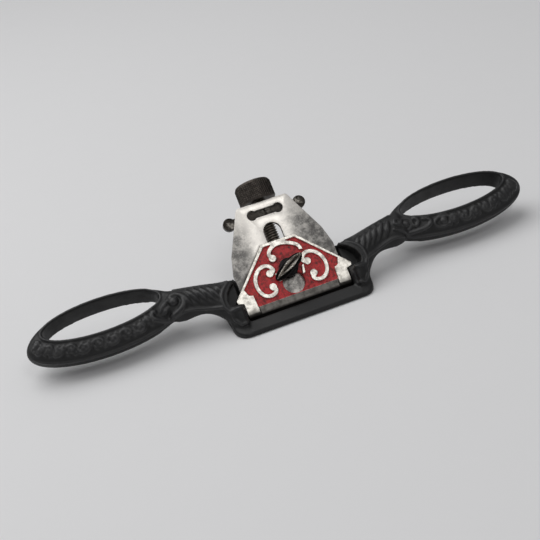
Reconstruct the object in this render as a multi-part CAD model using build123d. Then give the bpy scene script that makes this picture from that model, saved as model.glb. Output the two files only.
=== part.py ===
"""Spokeshave with an iron body, two open loop handles and a screw-fed cutter.

Frame: X runs along the handles, -Y is the toe (front), +Z is up, and the sole lies on Z = 0.
The origin is on the heel of the sole, behind the mouth, midway between the handles. The pieces are
drawn with Y counted from the cutting edge, and moved back to that origin as they are written.
The cutter lies on a bed that leans back from the sole. On the bed's plane, s is the distance
up from the cutting edge and c is the height in front of the cutter's front face.
"""
from build123d import *
from math import sin, cos, tan, radians
import os

os.makedirs("parts", exist_ok=True)

# ---- fits ----
side_gap = 0.4           # lever cap between the cheeks, each side
cutter_side_gap = 1.1    # cutter between the cheeks, each side
slide_gap = 0.15         # pieces that slide through slots, each side
turn_gap = 0.05          # radial clearance of turning pieces
thread_gap = 0.02        # radial clearance of threads, drawn as plain cylinders

# ---- bed and cutter ----
bed_angle = 45           # degrees between bed and sole
edge_set_back = 0.2      # cutting edge above the sole at rest, along the bed
cutter_width = 52.4
cutter_length = 57.2
cutter_thick = 2.2
cutter_straight = 26.0   # parallel part, measured up from the edge
flank_taper = 2.4        # how far the first part of the flank leans in, each side
cutter_flank_s = 35.0
cutter_top = 26.4        # width across the top edge
shoulder_round = 2.0
cutter_bevel = 28        # degrees, on the bed side
drive_slot_drop = 5.7    # cross slot below the top edge
drive_slot_length = 18.6
drive_slot_height = 3.6
drive_slot_end = 5.0     # diameter of the round ends of the cross slot
slot_web = 6.0           # long slot's end below the cross slot
feed_back = 0.6          # travel that draws the cutter up

# ---- cap screw ----
screw_s = 20.6
screw_diameter = 6.0
slot_play = 1.5          # long slot beside the screw, each side
wing_length = 18.6
wing_width = 6.6
wing_height = 8.6
wing_taper = 0.82        # length of the wing's crest, as a share of its foot
wing_crest = 0.9         # half width of the crest
wing_turn = 28           # degrees between wing and the length of the tool
collar_step = 1.7        # collar beyond the shank
collar_thick = 1.2
tap_over = 0.4           # metal of the bed left behind the screw's end
seat_gap = 0.02          # collar over the face of the cap

# ---- lever cap ----
cap_thick = 3.2
cap_top_s = 35.4
cap_top_half = 8.8
ear_reach = 2.7          # tip of an ear beyond the cheek
ear_low_over = 0.9       # lower corner of an ear above the post
ear_tip_over = 2.5
ear_slope = 0.3
cap_foot_s = 1.2         # where the nose touches the cutter
cap_nose_s = 4.6         # where the nose begins to curve down
rim_width = 1.45
field_depth = 0.7
field_margin = 6.5       # raised margin beside the foot of the red field
scroll_width = 2.0
ball_share = 0.95        # radius of a scroll's ball, in widths of its band
keyhole_s = 13.1
keyhole_play = 0.9       # keyhole round the collar, each side

# ---- feed screw, knob and crosshead ----
stud_diameter = 7.0
stud_clear = 0.3         # feed screw behind the cutter
stud_wall = 1.0          # metal between the tapped hole and the feed screw's journal
knob_diameter = 18.8
knob_clear = 0.5         # knob over the cutter when it is drawn right up
knob_height = 10.2
knob_crown = 1.0         # metal left over the end of the screw
knob_edge = 0.6
pin_diameter = 1.8
pin_s = 28.4
groove_depth = 0.8
groove_land = 1.0        # how far the groove's cutting ring stands past the shaft
hub_wall = 3.5           # crosshead block beside the screw
hub_rear_wall = 1.4
arm_thick = 2.6
crosshead_height = 5.0
arm_height = 4.0
lug_centre = 18.5
lug_radius = 3.2
rib_stand = 1.7          # how far the drive rib enters the cross slot
rib_notch = 1.0

# ---- body ----
datum = 8.0              # origin, behind the cutting edge
mouth_gap = 1.2
toe_front = 9.2          # front of the toe, ahead of the cutting edge
toe_ridge = 4.2
toe_lip = 2.5
toe_bevel = 0.8
toe_lip_slope = 1.2
toe_corner = 7.5
heel_back = 15.0
heel_height = 5.0
heel_bevel = 1.5
heel_slope = 3.0
heel_lap = 4.0           # heel running up inside the bed
bed_thick = 4.6
bed_top_s = 24.3
bed_corner_s = 15.0      # outer corner of the bed's outline
bed_shoulder_s = 19.0
bed_root_s = -3.0
post_width = 8.7         # metal outside the cheek
post_rise = 4.6          # posts in front of the cutter's face
cheek_rise = 3.8         # the same, beside the wells
post_top_s = 10.4
post_root = 4.0          # post below the cutting edge, cut off by the sole
well_reach = 6.7         # wells that take the ears of the cap, beyond the cheek
well_floor = 0.5         # below the cutter's front face
well_border = [(-0.6, 0), (0.4, 2.6), (-0.8, 6.8), (-3.6, 10.2)]  # beyond well_reach, over the post
well_close = 13.0        # where the wells run out into the cheek, over the post
well_lap = 1.0
panel_margin = 1.6
panel_width = 4.6
panel_low_s = 3.2
panel_depth = 0.8
boss_side = 3.2          # boss beside the feed screw
boss_low_s = 16.0
boss_top_s = 32.0
boss_wall = 2.2          # metal behind the screw's journal
riser_drop = 0.5         # riser in the long slot, below the cutter's front face
riser_gap = 0.3
riser_lap = 0.6

# ---- handles ----
loop_centre = 92.0       # along X
loop_y = 17.6
loop_z = 21.9
loop_tilt = 25           # ring axis leans towards the toe
loop_height = 11.0
hole_half_length = 28.2
hole_half_width = 8.3
hole_shift = 0.7         # finger opening behind the middle of the loop
rim_thick = 1.3
loop_ridge_drop = 7.0
loop_ridge_half = 37.8
loop_ridge_width = 14.0
loop_ridge_shift = 3.2
loop_foot_half = 36.8
loop_foot_width = 13.1
loop_foot_shift = 2.9
neck_tilt = 38           # degrees that the neck's section leans back
neck_root = 1.7          # neck's first section outside the cheek
neck_lap = 5.8           # neck's last section inside the loop
neck_sections = [        # share of the way to the loop, y, z, height and depth
    (0.0, 5.4, 10.4, 26.0, 11.0),
    (0.25, 8.6, 12.7, 19.5, 9.4),
    (0.4, 11.4, 14.6, 15.6, 8.9),
    (0.65, 13.2, 15.7, 15.0, 9.2),
    (1.0, 14.9, 16.5, 16.0, 10.0),
]

# ---- cuts ----
over = 1.0               # how far a cut runs past the metal
reach = 60.0             # more than the casting's height and the wells' length

# ---- worked out ----
lean = radians(bed_angle)
up_bed = Vector(0, cos(lean), sin(lean))
off_bed = Vector(0, -sin(lean), cos(lean))
half_cutter = cutter_width / 2
well_half = half_cutter + cutter_side_gap
well_out = well_half + well_reach
toe_half = well_half + post_width
cap_half = well_half - side_gap
field_half = cap_half - field_margin
ground_c = cap_thick - field_depth
bed_c = -cutter_thick
bed_rear = bed_c - bed_thick
stud_c = bed_c - stud_diameter / 2 - stud_clear
boss_half = stud_diameter / 2 + boss_side
hub_half = stud_diameter / 2 + hub_wall
stud_low_s = screw_s + screw_diameter / 2 + stud_wall
knob_low_s = cutter_length + feed_back + knob_clear
knob_top_s = knob_low_s + knob_height
stud_top_s = knob_top_s - knob_crown
drive_slot_s = cutter_length - drive_slot_drop
long_slot_top = drive_slot_s - slot_web
long_slot_width = screw_diameter + 2 * slot_play
collar_diameter = screw_diameter + 2 * collar_step
keyhole_diameter = collar_diameter + 2 * keyhole_play


def bed_plane(c=0.0, s=0.0):
    """Plane parallel to the bed: its Y runs up the bed and its Z out of it."""
    return Plane(origin=off_bed * c + up_bed * s, x_dir=(1, 0, 0), z_dir=off_bed)


def across_plane(s, c=0.0):
    """Plane square to the bed's slope: its Z runs up the bed."""
    return Plane(origin=off_bed * c + up_bed * s, x_dir=(1, 0, 0), z_dir=up_bed)


def slab(outline, c_low, c_high):
    """Extrude an outline given in (x, s) between two heights over the bed."""
    return extrude(bed_plane(c_low) * outline, c_high - c_low)


def rod(diameter, s_low, s_high, c):
    """Cylinder whose axis runs up the bed."""
    return extrude(across_plane(s_low, c) * Circle(diameter / 2), s_high - s_low)


def pin(diameter, s, c_low, c_high):
    """Cylinder whose axis stands square to the bed."""
    return extrude(bed_plane(c_low, s) * Circle(diameter / 2), c_high - c_low)


def mirrored(points):
    """Close a half outline by its mirror image about x = 0."""
    return make_face(Polyline(*points, *[(-x, s) for x, s in reversed(points)], close=True))


def side_profile(points, half_width):
    """Extrude an outline given in (y, z) over both sides of x = 0."""
    plane = Plane(origin=(-half_width, 0, 0), x_dir=(0, 1, 0), z_dir=(1, 0, 0))
    return extrude(plane * make_face(Polyline(*points, close=True)), 2 * half_width)


def bed_profile(points, half_width):
    """Extrude an outline given in (s, c) over both sides of x = 0."""
    corners = [up_bed * s + off_bed * c for s, c in points]
    return side_profile([(p.Y, p.Z) for p in corners], half_width)


def round_ended(length, height, end_diameter):
    """Narrow slot outline with a larger round at either end."""
    outline = Rectangle(length - end_diameter, height)
    for side in (-1, 1):
        outline += Pos(side * (length - end_diameter) / 2, 0) * Circle(end_diameter / 2)
    return outline


def make_cutter():
    """Blade with a long slot for the screws and a cross slot for the crosshead."""
    outline = mirrored([(half_cutter, edge_set_back), (half_cutter, cutter_straight),
                        (half_cutter - flank_taper, cutter_flank_s), (cutter_top / 2, cutter_length)])
    blade = slab(outline, bed_c, 0)
    corners = blade.edges().filter_by(Axis(origin=(0, 0, 0), direction=off_bed))
    corners = corners.sort_by(Axis(origin=(0, 0, 0), direction=up_bed))
    blade = fillet(corners[-2:], shoulder_round)
    bevel_length = cutter_thick / tan(radians(cutter_bevel))
    low = edge_set_back - over
    bevel = bed_profile([(edge_set_back, 0), (edge_set_back + bevel_length, bed_c), (low, bed_c - over),
                         (low, 0)], half_cutter + over)
    cross_slot = Pos(0, drive_slot_s) * round_ended(drive_slot_length, drive_slot_height, drive_slot_end)
    long_low = screw_s - screw_diameter / 2 - slot_play
    long_slot = Pos(0, (long_low + long_slot_top) / 2) * SlotOverall(
        long_slot_top - long_low, long_slot_width, rotation=90)
    return blade - bevel - slab(cross_slot + long_slot, bed_c - over, over)


def scroll(points):
    """Flat band along a smooth curve, with a ball on its first point."""
    return trace(Spline(*points), scroll_width) + Pos(*points[0]) * Circle(scroll_width * ball_share)


def make_scrolls():
    """Relief on the cap, in (x, s): a C-scroll and a stem each side, and an arch over the screw."""
    side_curl = [(9.8, 20.5), (7.7, 21.6), (9.2, 24.2), (13.2, 24.6), (17.0, 21.1), (18.0, 15.5),
                 (16.0, 11.3), (12.5, 10.1), (9.9, 11.5), (10.6, 13.9)]
    stem = [(6.5, 19.6), (7.6, 19.6), (6.9, 15.3), (5.3, 15.3)]
    relief = scroll([(-5.8, 27.2), (-6.7, 30.0), (-4.0, 32.6), (0.1, 33.3), (4.8, 31.9), (8.2, 29.6), (9.0, 27.0)])
    for side in (-1, 1):
        curl = [(side * x, s) for x, s in side_curl]
        relief += scroll(curl) + Pos(*curl[-1]) * Circle(scroll_width * ball_share)
        relief += make_face(Polyline(*[(side * x, s) for x, s in stem], close=True))
    return relief


def keyhole():
    """Hole that passes the screw's collar, running into a slot as wide as its shank."""
    slot_half = screw_diameter / 2 + slide_gap
    slot_top = screw_s + slide_gap
    slot = Pos(0, (keyhole_s + slot_top) / 2) * Rectangle(2 * slot_half, slot_top - keyhole_s)
    return Pos(0, keyhole_s) * Circle(keyhole_diameter / 2) + slot + Pos(0, slot_top) * Circle(slot_half)


def make_cap():
    """Plate with an ear at either side, a sunk field with scrolls, and a curved nose."""
    ear_tip = well_half + ear_reach
    plate = slab(mirrored([(cap_half, cap_foot_s), (cap_half, post_top_s + slide_gap),
                           (ear_tip - ear_slope, post_top_s + ear_low_over),
                           (ear_tip, post_top_s + ear_tip_over), (cap_top_half, cap_top_s)]), 0, cap_thick)
    nose_round = cap_nose_s - cap_foot_s
    nose = bed_profile([(cap_nose_s, cap_thick), (cap_foot_s + nose_round * 0.53, cap_thick * 0.72),
                        (cap_foot_s + nose_round * 0.12, cap_thick * 0.2), (cap_foot_s, 0),
                        (cap_foot_s - over, 0), (cap_foot_s - over, cap_thick + over),
                        (cap_nose_s, cap_thick + over)], cap_half + over)
    ear_low = post_top_s + ear_low_over
    field = mirrored([(field_half, cap_foot_s), (field_half + 0.8, ear_low + 1.9),
                      (field_half + 2.8, ear_low + 2.5), (field_half + 4.0, ear_low + 5.7),
                      (cap_top_half - rim_width / 2, cap_top_s - rim_width)])
    plate -= slab(field, ground_c, cap_thick + over)
    relief = slab(make_scrolls(), ground_c - seat_gap, cap_thick)
    return plate + relief - nose - slab(keyhole(), -over, cap_thick + over)


def make_cap_screw():
    """Wing screw that clamps the lever cap."""
    seat = ground_c + seat_gap
    shank = pin(screw_diameter - 2 * thread_gap, screw_s, bed_rear + tap_over, seat)
    collar = pin(collar_diameter, screw_s, seat, seat + collar_thick)
    turned = Rot(0, 0, wing_turn)
    foot = bed_plane(seat + collar_thick - seat_gap, screw_s) * (turned * Ellipse(wing_length / 2, wing_width / 2))
    crest = bed_plane(seat + wing_height, screw_s) * (turned * Ellipse(wing_length / 2 * wing_taper, wing_crest))
    return shank + collar + loft([foot.face(), crest.face()])


def make_feed_screw():
    """Screw held in the bed by a pin that lies in its groove."""
    shaft = rod(stud_diameter, stud_low_s, stud_top_s, stud_c)
    half = pin_diameter / 2 + turn_gap
    ring = rod(stud_diameter + groove_land, pin_s - half, pin_s + half, stud_c)
    core = rod(stud_diameter - 2 * groove_depth, pin_s - half, pin_s + half, stud_c)
    return shaft - (ring - core)


def make_feed_knob():
    """Round knob pressed on the end of the feed screw."""
    knob = rod(knob_diameter, knob_low_s, knob_top_s, stud_c)
    knob = chamfer(knob.edges().filter_by(GeomType.CIRCLE), knob_edge)
    return knob - rod(stud_diameter, knob_low_s - over, stud_top_s, stud_c)


def make_retaining_pin():
    """Pin across the back of the feed screw's groove."""
    centre_c = stud_c - (stud_diameter / 2 - groove_depth) - pin_diameter / 2 - turn_gap
    start = off_bed * centre_c + up_bed * pin_s + Vector(-boss_half, 0, 0)
    return extrude(Plane(origin=start, z_dir=(1, 0, 0)) * Circle(pin_diameter / 2), 2 * boss_half)


def make_crosshead():
    """Block that travels on the feed screw, with two arms and a rib in the cutter's cross slot."""
    block = Rectangle(2 * hub_half, crosshead_height)
    outline = Rectangle(2 * lug_centre, arm_height) + block
    for side in (-1, 1):
        outline += Pos(side * lug_centre, 0) * Circle(lug_radius)
    level = Pos(0, drive_slot_s)
    arms = slab(level * outline, bed_c - arm_thick, bed_c)
    hub = slab(level * block, stud_c - stud_diameter / 2 - hub_rear_wall, bed_c)
    rib = slab(level * round_ended(drive_slot_length - 2 * slide_gap, drive_slot_height - 2 * slide_gap,
                                   drive_slot_end - 2 * slide_gap), bed_c, bed_c + rib_stand)
    notch = slab(level * Rectangle(rib_notch, drive_slot_end), bed_c + rib_stand / 2, over)
    bore = rod(stud_diameter + 2 * thread_gap, drive_slot_s - crosshead_height,
               drive_slot_s + crosshead_height, stud_c)
    return arms + hub + rib - notch - bore


def make_toe():
    """Bar in front of the mouth."""
    return side_profile([(-mouth_gap, 0), (toe_bevel - toe_front, 0), (-toe_front, toe_bevel),
                         (toe_lip_slope - toe_front, toe_lip), (-mouth_gap - toe_bevel, toe_ridge),
                         (-mouth_gap, toe_ridge - toe_bevel)], toe_half)


def make_posts():
    """Blocks at the ends of the toe bar, with a sunk panel each, that stop the cap's ears."""
    posts = []
    for side in (-1, 1):
        outline = Pos(side * (well_half + toe_half) / 2, (post_top_s - post_root) / 2) * Rectangle(
            post_width, post_top_s + post_root)
        panel = Pos(side * (well_half + panel_margin + panel_width / 2), panel_low_s + panel_width / 2)
        panel *= Rectangle(panel_width, panel_width)
        posts.append(slab(outline, bed_rear, post_rise) - slab(panel, post_rise - panel_depth, post_rise + over))
    return posts[0] + posts[1]


def make_bed():
    """Sloping bed with a cheek at either side."""
    half = [(toe_half, bed_root_s), (toe_half, bed_corner_s), (well_out, bed_shoulder_s), (well_half, bed_top_s)]
    return slab(mirrored(half), bed_rear, cheek_rise)


def make_heel():
    """Sole behind the mouth."""
    return side_profile([(0, 0), (heel_back - heel_bevel, 0), (heel_back, heel_bevel),
                         (heel_back, heel_height), (heel_back - heel_slope, heel_height + heel_lap),
                         (0, heel_height + heel_lap)], toe_half)


def make_plan():
    """Outline of the middle of the casting seen from above, with rounded front corners."""
    outline = Pos(0, reach / 2 - toe_front) * RectangleRounded(2 * toe_half, reach, toe_corner)
    return extrude(outline, reach)


def make_wells():
    """Room for the cutter, the cap and its ears."""
    cut = slab(Pos(0, reach / 2) * Rectangle(2 * well_half, reach + 2 * mouth_gap), bed_c, reach)
    lap = well_half - well_lap
    half = [(lap, post_top_s), *[(well_out + x, post_top_s + s) for x, s in well_border],
            (lap, post_top_s + well_close)]
    for side in (-1, 1):
        outline = make_face(Polyline(*[(side * x, s) for x, s in half], close=True))
        cut += slab(outline, -well_floor, reach)
    return cut


def section(x, y, z, height, depth):
    """Oval section of the neck, square to X, leaning back like the bed."""
    tilt = radians(neck_tilt)
    plane = Plane(origin=(x, y, z), x_dir=(0, cos(tilt), sin(tilt)), z_dir=(1, 0, 0))
    return (plane * Ellipse(height / 2, depth / 2)).face()


def make_neck():
    """Arm from the cheek to the loop."""
    start = well_half + neck_root
    end = loop_centre - loop_foot_half + neck_lap
    return loft([section(start + share * (end - start), *sizes) for share, *sizes in neck_sections])


def ring_plane(drop=0.0, shift=0.0):
    """Plane across the ring of a loop, below its top edge; shift moves it to the toe."""
    tilt = radians(loop_tilt)
    across, axis = Vector(0, cos(tilt), sin(tilt)), Vector(0, -sin(tilt), cos(tilt))
    origin = Vector(loop_centre, loop_y, loop_z) - axis * drop - across * shift
    return Plane(origin=origin, x_dir=(1, 0, 0), z_dir=axis)


def make_loop():
    """Solid oval of the handle, widest at its ridge."""
    top = ring_plane(0, -hole_shift) * Ellipse(hole_half_length + rim_thick, hole_half_width + rim_thick)
    ridge = ring_plane(loop_ridge_drop, loop_ridge_shift) * Ellipse(loop_ridge_half, loop_ridge_width)
    foot = ring_plane(loop_height, loop_foot_shift) * Ellipse(loop_foot_half, loop_foot_width)
    return loft([foot.face(), ridge.face(), top.face()])


def make_hole():
    """Finger opening through the loop."""
    hole = ring_plane(reach / 2, -hole_shift) * Ellipse(hole_half_length, hole_half_width)
    return extrude(hole, reach)


def make_boss():
    """Lug on the back of the bed for the feed screw, with a riser that fills the cutter's long slot."""
    lug_low_c = stud_c - stud_diameter / 2 - boss_wall
    lug = slab(Pos(0, (boss_low_s + boss_top_s) / 2) * Rectangle(2 * boss_half, boss_top_s - boss_low_s),
               lug_low_c, bed_c)
    riser_low = stud_low_s - riser_lap
    riser = slab(Pos(0, (riser_low + boss_top_s) / 2)
                 * Rectangle(long_slot_width - 2 * riser_gap, boss_top_s - riser_low), bed_c, -riser_drop)
    return lug + riser


def make_journal():
    """Bore that the feed screw turns in."""
    return rod(stud_diameter + 2 * turn_gap, stud_low_s - slide_gap, boss_top_s + over, stud_c)


def make_body():
    """One iron casting: sole, bed, cheeks, necks and loops."""
    arm = make_neck() + make_loop() - make_hole()
    middle = (make_bed() + make_heel() + make_posts()) & make_plan()
    casting = middle + arm + mirror(arm, Plane.YZ) - make_wells()
    casting += make_toe() & make_plan()
    casting = casting + make_boss() - make_journal() - make_retaining_pin()
    return casting - pin(screw_diameter, screw_s, bed_rear - reach, bed_c + over)


nodes = {
    "body_casting": make_body,
    "cutter_iron": make_cutter,
    "lever_cap": make_cap,
    "cap_screw": make_cap_screw,
    "feed_screw": make_feed_screw,
    "feed_knob": make_feed_knob,
    "crosshead": make_crosshead,
    "retaining_pin": make_retaining_pin,
}

for name, build in nodes.items():
    solid = build()
    export_step(Pos(0, -datum, 0) * solid, f"parts/{name}.step")
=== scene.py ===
import bpy
import bmesh
import math
from mathutils import Vector, Matrix, Quaternion
from mathutils.bvhtree import BVHTree
from mathutils.geometry import interpolate_bezier


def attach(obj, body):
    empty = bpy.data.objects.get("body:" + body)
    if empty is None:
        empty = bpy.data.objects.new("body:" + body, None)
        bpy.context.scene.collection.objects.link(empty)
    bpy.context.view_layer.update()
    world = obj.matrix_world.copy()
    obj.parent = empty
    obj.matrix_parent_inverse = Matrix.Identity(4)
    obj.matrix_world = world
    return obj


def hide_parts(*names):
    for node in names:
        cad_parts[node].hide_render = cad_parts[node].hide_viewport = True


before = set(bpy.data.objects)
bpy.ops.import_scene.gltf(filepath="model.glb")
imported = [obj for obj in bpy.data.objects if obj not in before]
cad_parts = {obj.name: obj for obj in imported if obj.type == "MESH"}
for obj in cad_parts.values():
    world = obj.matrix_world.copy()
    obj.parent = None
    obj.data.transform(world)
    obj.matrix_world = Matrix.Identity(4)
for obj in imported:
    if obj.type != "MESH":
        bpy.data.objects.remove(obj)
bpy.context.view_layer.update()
scene = bpy.context.scene
mm = 0.001
print("frame loaded")

# the bed leans back at 45 degrees from the cutting edge: x across, s up the bed, c out of it
bed = {"angle": 45.0, "edgeY": -8.0}
lean = math.radians(bed["angle"])
upBed = Vector((0.0, math.cos(lean), math.sin(lean)))
offBed = Vector((0.0, -math.sin(lean), math.cos(lean)))
cuttingEdge = Vector((0.0, bed["edgeY"] * mm, 0.0))
bedMatrix = Matrix.Translation(cuttingEdge) @ Matrix(
    ((1, 0, 0), (0, upBed.y, offBed.y), (0, upBed.z, offBed.z))).to_4x4()


# camera, light and floor

view = {"location": (-0.10650, -0.39536, 0.28112), "aim": (-0.00802, 0.00998, 0.0150),
        "roll": -11.786, "lens": 67.74, "sensor": 36.0}


def makeCamera():
    data = bpy.data.cameras.new("camera")
    data.lens = view["lens"]
    data.sensor_width = view["sensor"]
    camera = bpy.data.objects.new("camera", data)
    location = Vector(view["location"])
    aim = (Vector(view["aim"]) - location).to_track_quat("-Z", "Y")
    camera.rotation_mode = "QUATERNION"
    camera.rotation_quaternion = aim @ Quaternion((0, 0, 1), math.radians(view["roll"]))
    camera.location = location
    scene.collection.objects.link(camera)
    scene.camera = camera


studio = {
    "skyHigh": (0.84, 0.84, 0.85), "skyLow": (0.30, 0.30, 0.30), "skyStrength": 0.40, "skyRise": 0.75,
    "lights": [  # name, place, aim, size, watts
        ("overheadSoft", (-0.30, 0.34, 1.05), (0.0, 0.0, 0.0), 1.25, 6.6),
        ("windowEdge", (-0.85, 0.25, 0.55), (0.0, 0.0, 0.0), 0.5, 1.2),
        ("bedGlow", (0.22, -0.62, 1.05), (0.0, 0.0, 0.02), 0.45, 1.45),
    ],
    "floorSize": 3.0, "floorColor": (0.78, 0.78, 0.785), "floorRough": 0.75, "floorGrain": 60.0,
    "floorShade": 0.985,
}


def makeSky():
    # bright overhead, dimmer low down
    world = bpy.data.worlds.new("studioWorld")
    world.use_nodes = True
    tree = world.node_tree
    place = tree.nodes.new("ShaderNodeTexCoord").outputs["Generated"]
    height = addNode(tree, "ShaderNodeSeparateXYZ", {0: place}).outputs["Z"]
    rise = spread(tree, height, 0.0, studio["skyRise"])
    color = mixColor(tree, rise, studio["skyLow"], studio["skyHigh"])
    back = tree.nodes["Background"]
    tree.links.new(color, back.inputs["Color"])
    back.inputs["Strength"].default_value = studio["skyStrength"]
    scene.world = world


def makeStudio():
    scene.view_settings.view_transform = "Standard"
    makeSky()
    for name, place, aim, size, watts in studio["lights"]:
        data = bpy.data.lights.new(name, "AREA")
        data.shape = "DISK"
        data.size = size
        data.energy = watts
        lamp = bpy.data.objects.new(name, data)
        lamp.location = place
        lamp.rotation_euler = (Vector(aim) - Vector(place)).to_track_quat("-Z", "Y").to_euler()
        scene.collection.objects.link(lamp)
    bm = bmesh.new()
    bmesh.ops.create_grid(bm, x_segments=1, y_segments=1, size=studio["floorSize"] / 2)
    floor = pieceFromBmesh(bm, "studioFloor")
    paint, tree, shader = newMaterial("floorPaint", 0.0, specular=0.2)
    fine = placeGroup(tree, grain, Scale=studio["floorGrain"])
    shade = [studio["floorShade"] * part for part in studio["floorColor"]]
    tone = mixColor(tree, fine.outputs["Height"], studio["floorColor"], shade)
    tree.links.new(tone, shader.inputs["Base Color"])
    shader.inputs["Roughness"].default_value = studio["floorRough"]
    floor.data.materials.append(paint)


# small helpers

def pieceFromBmesh(bm, name):
    mesh = bpy.data.meshes.new(name)
    bm.to_mesh(mesh)
    bm.free()
    piece = bpy.data.objects.new(name, mesh)
    scene.collection.objects.link(piece)
    return piece


def copyOfNode(node, name):
    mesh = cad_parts[node].data.copy()
    mesh.materials.clear()
    if mesh.attributes.get("custom_normal"):
        mesh.attributes.remove(mesh.attributes["custom_normal"])
    bm = bmesh.new()
    bm.from_mesh(mesh)
    bmesh.ops.remove_doubles(bm, verts=bm.verts, dist=0.001 * mm)
    bm.to_mesh(mesh)
    bm.free()
    piece = bpy.data.objects.new(name, mesh)
    scene.collection.objects.link(piece)
    return piece


def makeSoftened(node, name, bevel, segments=3):
    piece = copyOfNode(node, name)
    softenEdges(piece, bevel, segments)
    return piece


def applyModifiers(piece):
    graph = bpy.context.evaluated_depsgraph_get()
    graph.update()
    mesh = bpy.data.meshes.new_from_object(piece.evaluated_get(graph))
    piece.modifiers.clear()
    old = piece.data
    piece.data = mesh
    mesh.name = piece.name
    bpy.data.meshes.remove(old)


def remesh(piece, voxel, rounds, factor=0.5):
    step = piece.modifiers.new("remesh", "REMESH")
    step.mode = "VOXEL"
    step.voxel_size = voxel * mm
    step.use_smooth_shade = True
    if rounds:
        smooth = piece.modifiers.new("smooth", "SMOOTH")
        smooth.factor = factor
        smooth.iterations = rounds
    applyModifiers(piece)


def thinTo(piece, triangles):
    # the remeshed skin is all quads, so it has twice as many triangles as faces
    thin = piece.modifiers.new("thin", "DECIMATE")
    thin.ratio = min(1.0, triangles / (2 * len(piece.data.polygons)))
    applyModifiers(piece)


def softenEdges(piece, width, segments, angle=30):
    bm = bmesh.new()
    bm.from_mesh(piece.data)
    bmesh.ops.dissolve_limit(bm, angle_limit=math.radians(1), verts=bm.verts, edges=bm.edges)
    bm.to_mesh(piece.data)
    bm.free()
    bevel = piece.modifiers.new("bevel", "BEVEL")
    bevel.width = width * mm
    bevel.segments = segments
    bevel.limit_method = "ANGLE"
    bevel.angle_limit = math.radians(angle)
    bevel.harden_normals = False
    applyModifiers(piece)
    smoothShade(piece)


def smoothShade(piece, angle=35):
    piece.data.shade_smooth()
    piece.data.set_sharp_from_angle(angle=math.radians(angle))


def lathe(bm, profile, centreC, steps):
    # profile is (radius, s) in mm, turned about the line up the bed at height c
    rail = [bm.verts.new((radius * mm, s * mm, centreC * mm)) for radius, s in profile]
    edges = [bm.edges.new(pair) for pair in zip(rail, rail[1:])]
    bmesh.ops.spin(bm, geom=rail + edges, cent=(0, 0, centreC * mm), axis=(0, 1, 0), dvec=(0, 0, 0),
                   angle=2 * math.pi, steps=steps, use_merge=True, use_duplicate=False)
    bmesh.ops.remove_doubles(bm, verts=bm.verts, dist=0.002 * mm)
    bmesh.ops.recalc_face_normals(bm, faces=bm.faces)


def finishPiece(piece, body, material, slotName, *nodes):
    piece.data.materials.clear()
    piece.data.materials.append(material)
    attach(piece, body)
    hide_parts(*nodes)
    print("made", piece.name, len(piece.data.polygons), "faces")


def setAttribute(piece, name, value):
    # value is a function that gives a vertex its number
    layer = piece.data.attributes.new(name, "FLOAT", "POINT")
    layer.data.foreach_set("value", [value(v) for v in piece.data.vertices])


def ease(low, high, value):
    t = min(1.0, max(0.0, (value - low) / (high - low)))
    return t * t * (3 - 2 * t)


# shader groups

def newGroup(name, inputs, outputs):
    tree = bpy.data.node_groups.new(name, "ShaderNodeTree")
    for label, kind, value in inputs:
        socket = tree.interface.new_socket(label, in_out="INPUT", socket_type=kind)
        socket.default_value = value
    for label, kind in outputs:
        tree.interface.new_socket(label, in_out="OUTPUT", socket_type=kind)
    return tree, tree.nodes.new("NodeGroupInput"), tree.nodes.new("NodeGroupOutput")


def addNode(tree, kind, links=None, **values):
    made = tree.nodes.new(kind)
    for key, value in values.items():
        setattr(made, key, value)
    for key, value in (links or {}).items():
        if isinstance(value, bpy.types.NodeSocket):
            tree.links.new(value, made.inputs[key])
        else:
            made.inputs[key].default_value = value
    return made


def math2(tree, operation, a, b=0.0):
    return addNode(tree, "ShaderNodeMath", {0: a, 1: b}, operation=operation).outputs[0]


def plus(tree, a, b):
    return math2(tree, "ADD", a, b)


def minus(tree, a, b):
    return math2(tree, "SUBTRACT", a, b)


def times(tree, a, b):
    return math2(tree, "MULTIPLY", a, b)


def spread(tree, value, low, high):
    # eases from 0 at low to 1 at high
    made = addNode(tree, "ShaderNodeMapRange", {"Value": value, "From Min": low, "From Max": high})
    made.interpolation_type = "SMOOTHSTEP"
    return made.outputs["Result"]


def mixColor(tree, factor, a, b):
    made = tree.nodes.new("ShaderNodeMix")
    made.data_type = "RGBA"
    for index, value in ((0, factor), (6, a), (7, b)):
        if isinstance(value, bpy.types.NodeSocket):
            tree.links.new(value, made.inputs[index])
        elif index:
            made.inputs[index].default_value = (*value, 1)
        else:
            made.inputs[index].default_value = value
    return made.outputs[2]


def between(tree, mask, low, high):
    return plus(tree, times(tree, mask, high - low), low)


def layOver(tree, base, mask, strength, color):
    return mixColor(tree, times(tree, mask, strength), base, color)


def objectPlace(tree):
    return tree.nodes.new("ShaderNodeTexCoord").outputs["Object"]


def readAttribute(tree, name):
    return addNode(tree, "ShaderNodeAttribute", attribute_name=name).outputs["Fac"]


def noiseAt(tree, place, scale, detail, rough=0.5):
    inputs = {"Vector": place, "Scale": scale, "Detail": detail, "Roughness": rough}
    return addNode(tree, "ShaderNodeTexNoise", inputs).outputs[0]


number = "NodeSocketFloat"
triple = "NodeSocketVector"


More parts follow.
